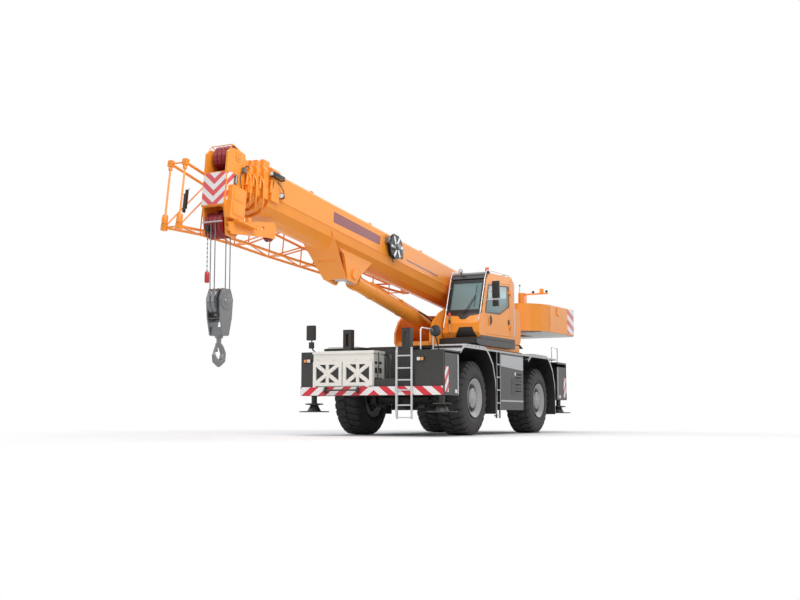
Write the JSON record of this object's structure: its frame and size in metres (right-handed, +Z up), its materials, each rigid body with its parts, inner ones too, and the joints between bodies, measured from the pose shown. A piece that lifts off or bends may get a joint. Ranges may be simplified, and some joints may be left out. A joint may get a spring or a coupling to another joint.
{
  "type": "rough terrain crane",
  "caption": "Two-axle rough terrain crane with a slewing upper, telescopic boom, stowed lattice jib, outriggers and a hook block.",
  "frame": {"origin": "middle of the underside of the whole crane's box, at ground level under the tyres", "axes": "+Z up; -Y is the carrier's forward end, over which the boom points; +X is the carrier's left side, the cab's side"},
  "size_m": [3.99, 15.2302, 5.5246],
  "materials": {
    "aluminium": "brushed",
    "dark": "satin",
    "glass": "clear",
    "grey": "satin",
    "orange": "gloss",
    "red": "satin",
    "rim": "satin",
    "rubber": "matte",
    "seat": "woven",
    "steel": "brushed"
  },
  "bodies": {
    "carrier": {"chassis_frame": "dark", "front_body": "dark", "rear_body": "dark", "left_deck": "grey", "right_deck": "grey", "left_toolbox": "dark", "right_fuel_tank": "dark", "engine_block": "steel", "engine_hood": "dark", "storage_box": "aluminium", "boom_rest": "dark", "front_ladder": "grey", "front_axle": "dark", "rear_axle": "dark", "slew_ring": "dark"},
    "upper": {"turntable": "orange", "counterweight": "orange", "main_winch": "red", "auxiliary_winch": "red", "cab_shell": "orange", "cab_front_glass": "glass", "cab_seat": "seat", "cab_base": "dark"},
    "cab_door": {"cab_door": "orange", "cab_door_glass": "glass"},
    "boom": {"boom_base_section": "orange", "stowed_jib": "orange", "cable_reel": "dark"},
    "boom_2": {"boom_section_2": "orange"},
    "boom_3": {"boom_section_3": "orange"},
    "boom_4": {"boom_section_4": "orange"},
    "boom_head": {"boom_head_section": "orange", "head_top_sheaves": "red", "head_lower_sheaves": "red", "auxiliary_sheave": "red"},
    "lift_barrel": {"lift_cylinder_barrel": "orange"},
    "lift_rod": {"lift_cylinder_rod": "steel"},
    "hook_block": {"hook_block": "steel"},
    "hook": {"hook": "steel"},
    "front_left_steer": {"front_left_knuckle": "dark"},
    "front_left_wheel": {"front_left_rim": "rim", "front_left_tyre": "rubber"},
    "front_left_beam": {"front_left_outrigger_beam": "dark"},
    "front_left_jack": {"front_left_outrigger_jack": "dark"},
    "front_right_steer": {"front_right_knuckle": "dark"},
    "front_right_wheel": {"front_right_rim": "rim", "front_right_tyre": "rubber"},
    "front_right_beam": {"front_right_outrigger_beam": "dark"},
    "front_right_jack": {"front_right_outrigger_jack": "dark"},
    "rear_left_steer": {"rear_left_knuckle": "dark"},
    "rear_left_wheel": {"rear_left_rim": "rim", "rear_left_tyre": "rubber"},
    "rear_left_beam": {"rear_left_outrigger_beam": "dark"},
    "rear_left_jack": {"rear_left_outrigger_jack": "dark"},
    "rear_right_steer": {"rear_right_knuckle": "dark"},
    "rear_right_wheel": {"rear_right_rim": "rim", "rear_right_tyre": "rubber"},
    "rear_right_beam": {"rear_right_outrigger_beam": "dark"},
    "rear_right_jack": {"rear_right_outrigger_jack": "dark"}
  },
  "joints": [
    {"name": "front_left_steering", "type": "hinge", "parent": "carrier", "child": "front_left_steer", "pos_m": [0.99, 0.07547, 0.865], "axis": [0, 0, 1], "range_deg": [-22, 22]},
    {"name": "front_left_wheel_spin", "type": "hinge", "parent": "front_left_steer", "child": "front_left_wheel", "pos_m": [1.31, 0.07547, 0.865], "axis": [1, 0, 0], "continuous": true},
    {"name": "front_left_beam_slide", "type": "slide", "parent": "carrier", "child": "front_left_beam", "axis": [1, 0, 0], "range_m": [0, 1.9]},
    {"name": "front_left_jack_slide", "type": "slide", "parent": "front_left_beam", "child": "front_left_jack", "axis": [0, 0, -1], "range_m": [0, 0.6]},
    {"name": "front_right_steering", "type": "hinge", "parent": "carrier", "child": "front_right_steer", "pos_m": [-0.99, 0.07547, 0.865], "axis": [0, 0, 1], "range_deg": [-22, 22]},
    {"name": "front_right_wheel_spin", "type": "hinge", "parent": "front_right_steer", "child": "front_right_wheel", "pos_m": [-1.31, 0.07547, 0.865], "axis": [1, 0, 0], "continuous": true},
    {"name": "front_right_beam_slide", "type": "slide", "parent": "carrier", "child": "front_right_beam", "axis": [-1, 0, 0], "range_m": [0, 1.9]},
    {"name": "front_right_jack_slide", "type": "slide", "parent": "front_right_beam", "child": "front_right_jack", "axis": [0, 0, -1], "range_m": [0, 0.6]},
    {"name": "rear_left_steering", "type": "hinge", "parent": "carrier", "child": "rear_left_steer", "pos_m": [0.99, 4.73547, 0.865], "axis": [0, 0, 1], "range_deg": [-22, 22]},
    {"name": "rear_left_wheel_spin", "type": "hinge", "parent": "rear_left_steer", "child": "rear_left_wheel", "pos_m": [1.31, 4.73547, 0.865], "axis": [1, 0, 0], "continuous": true},
    {"name": "rear_left_beam_slide", "type": "slide", "parent": "carrier", "child": "rear_left_beam", "axis": [1, 0, 0], "range_m": [0, 1.9]},
    {"name": "rear_left_jack_slide", "type": "slide", "parent": "rear_left_beam", "child": "rear_left_jack", "axis": [0, 0, -1], "range_m": [0, 0.6]},
    {"name": "rear_right_steering", "type": "hinge", "parent": "carrier", "child": "rear_right_steer", "pos_m": [-0.99, 4.73547, 0.865], "axis": [0, 0, 1], "range_deg": [-22, 22]},
    {"name": "rear_right_wheel_spin", "type": "hinge", "parent": "rear_right_steer", "child": "rear_right_wheel", "pos_m": [-1.31, 4.73547, 0.865], "axis": [1, 0, 0], "continuous": true},
    {"name": "rear_right_beam_slide", "type": "slide", "parent": "carrier", "child": "rear_right_beam", "axis": [-1, 0, 0], "range_m": [0, 1.9]},
    {"name": "rear_right_jack_slide", "type": "slide", "parent": "rear_right_beam", "child": "rear_right_jack", "axis": [0, 0, -1], "range_m": [0, 0.6]},
    {"name": "slew", "type": "hinge", "parent": "carrier", "child": "upper", "pos_m": [0, 2.40547, 2.15], "axis": [0, 0, 1], "continuous": true},
    {"name": "cab_door_hinge", "type": "hinge", "parent": "upper", "child": "cab_door", "pos_m": [1.57485, 2.76516, 2.45], "axis": [0, 0, 1], "range_deg": [0, 95]},
    {"name": "boom_luff", "type": "hinge", "parent": "upper", "child": "boom", "pos_m": [0.10665, 4.15221, 3.4], "axis": [-0.9981, 0.0609, 0], "range_deg": [-7.29, 72.71]},
    {"name": "lift_cylinder_swing", "type": "hinge", "parent": "upper", "child": "lift_barrel", "pos_m": [-0.00305, 2.35556, 2.47], "axis": [-0.9981, 0.0609, 0], "range_deg": [-7.92, 78.9]},
    {"name": "lift_cylinder_stroke", "type": "slide", "parent": "lift_barrel", "child": "lift_rod", "axis": [-0.0597, -0.9779, 0.2005], "range_m": [-0.2105, 2.0944]},
    {"name": "telescope_1", "type": "slide", "parent": "boom", "child": "boom_2", "axis": [-0.0605, -0.9901, 0.1269], "range_m": [0, 9]},
    {"name": "telescope_2", "type": "slide", "parent": "boom_2", "child": "boom_3", "axis": [-0.0605, -0.9901, 0.1269], "range_m": [0, 9]},
    {"name": "telescope_3", "type": "slide", "parent": "boom_3", "child": "boom_4", "axis": [-0.0605, -0.9901, 0.1269], "range_m": [0, 9]},
    {"name": "telescope_4", "type": "slide", "parent": "boom_4", "child": "boom_head", "axis": [-0.0605, -0.9901, 0.1269], "range_m": [0, 9]},
    {"name": "hook_hang", "type": "hinge", "parent": "boom_head", "child": "hook_block", "pos_m": [-0.58129, -7.11482, 3.97722], "axis": [-0.9981, 0.0609, 0], "range_deg": [-72.72, 7.3]},
    {"name": "hook_swivel", "type": "hinge", "parent": "hook_block", "child": "hook", "pos_m": [-0.58129, -7.11482, 1.91722], "axis": [0, 0, 1], "continuous": true}
  ],
  "couplings": [
    {"joint": "front_right_steering", "follows": "front_left_steering", "ratio": 1},
    {"joint": "rear_right_steering", "follows": "rear_left_steering", "ratio": 1},
    {"joint": "lift_cylinder_swing", "follows": "boom_luff", "ratio": 1.085},
    {"joint": "lift_cylinder_stroke", "follows": "boom_luff", "m_per_rad": 1.65},
    {"joint": "telescope_2", "follows": "telescope_1", "ratio": 1},
    {"joint": "telescope_3", "follows": "telescope_1", "ratio": 1},
    {"joint": "telescope_4", "follows": "telescope_1", "ratio": 1},
    {"joint": "hook_hang", "follows": "boom_luff", "ratio": -1}
  ]
}
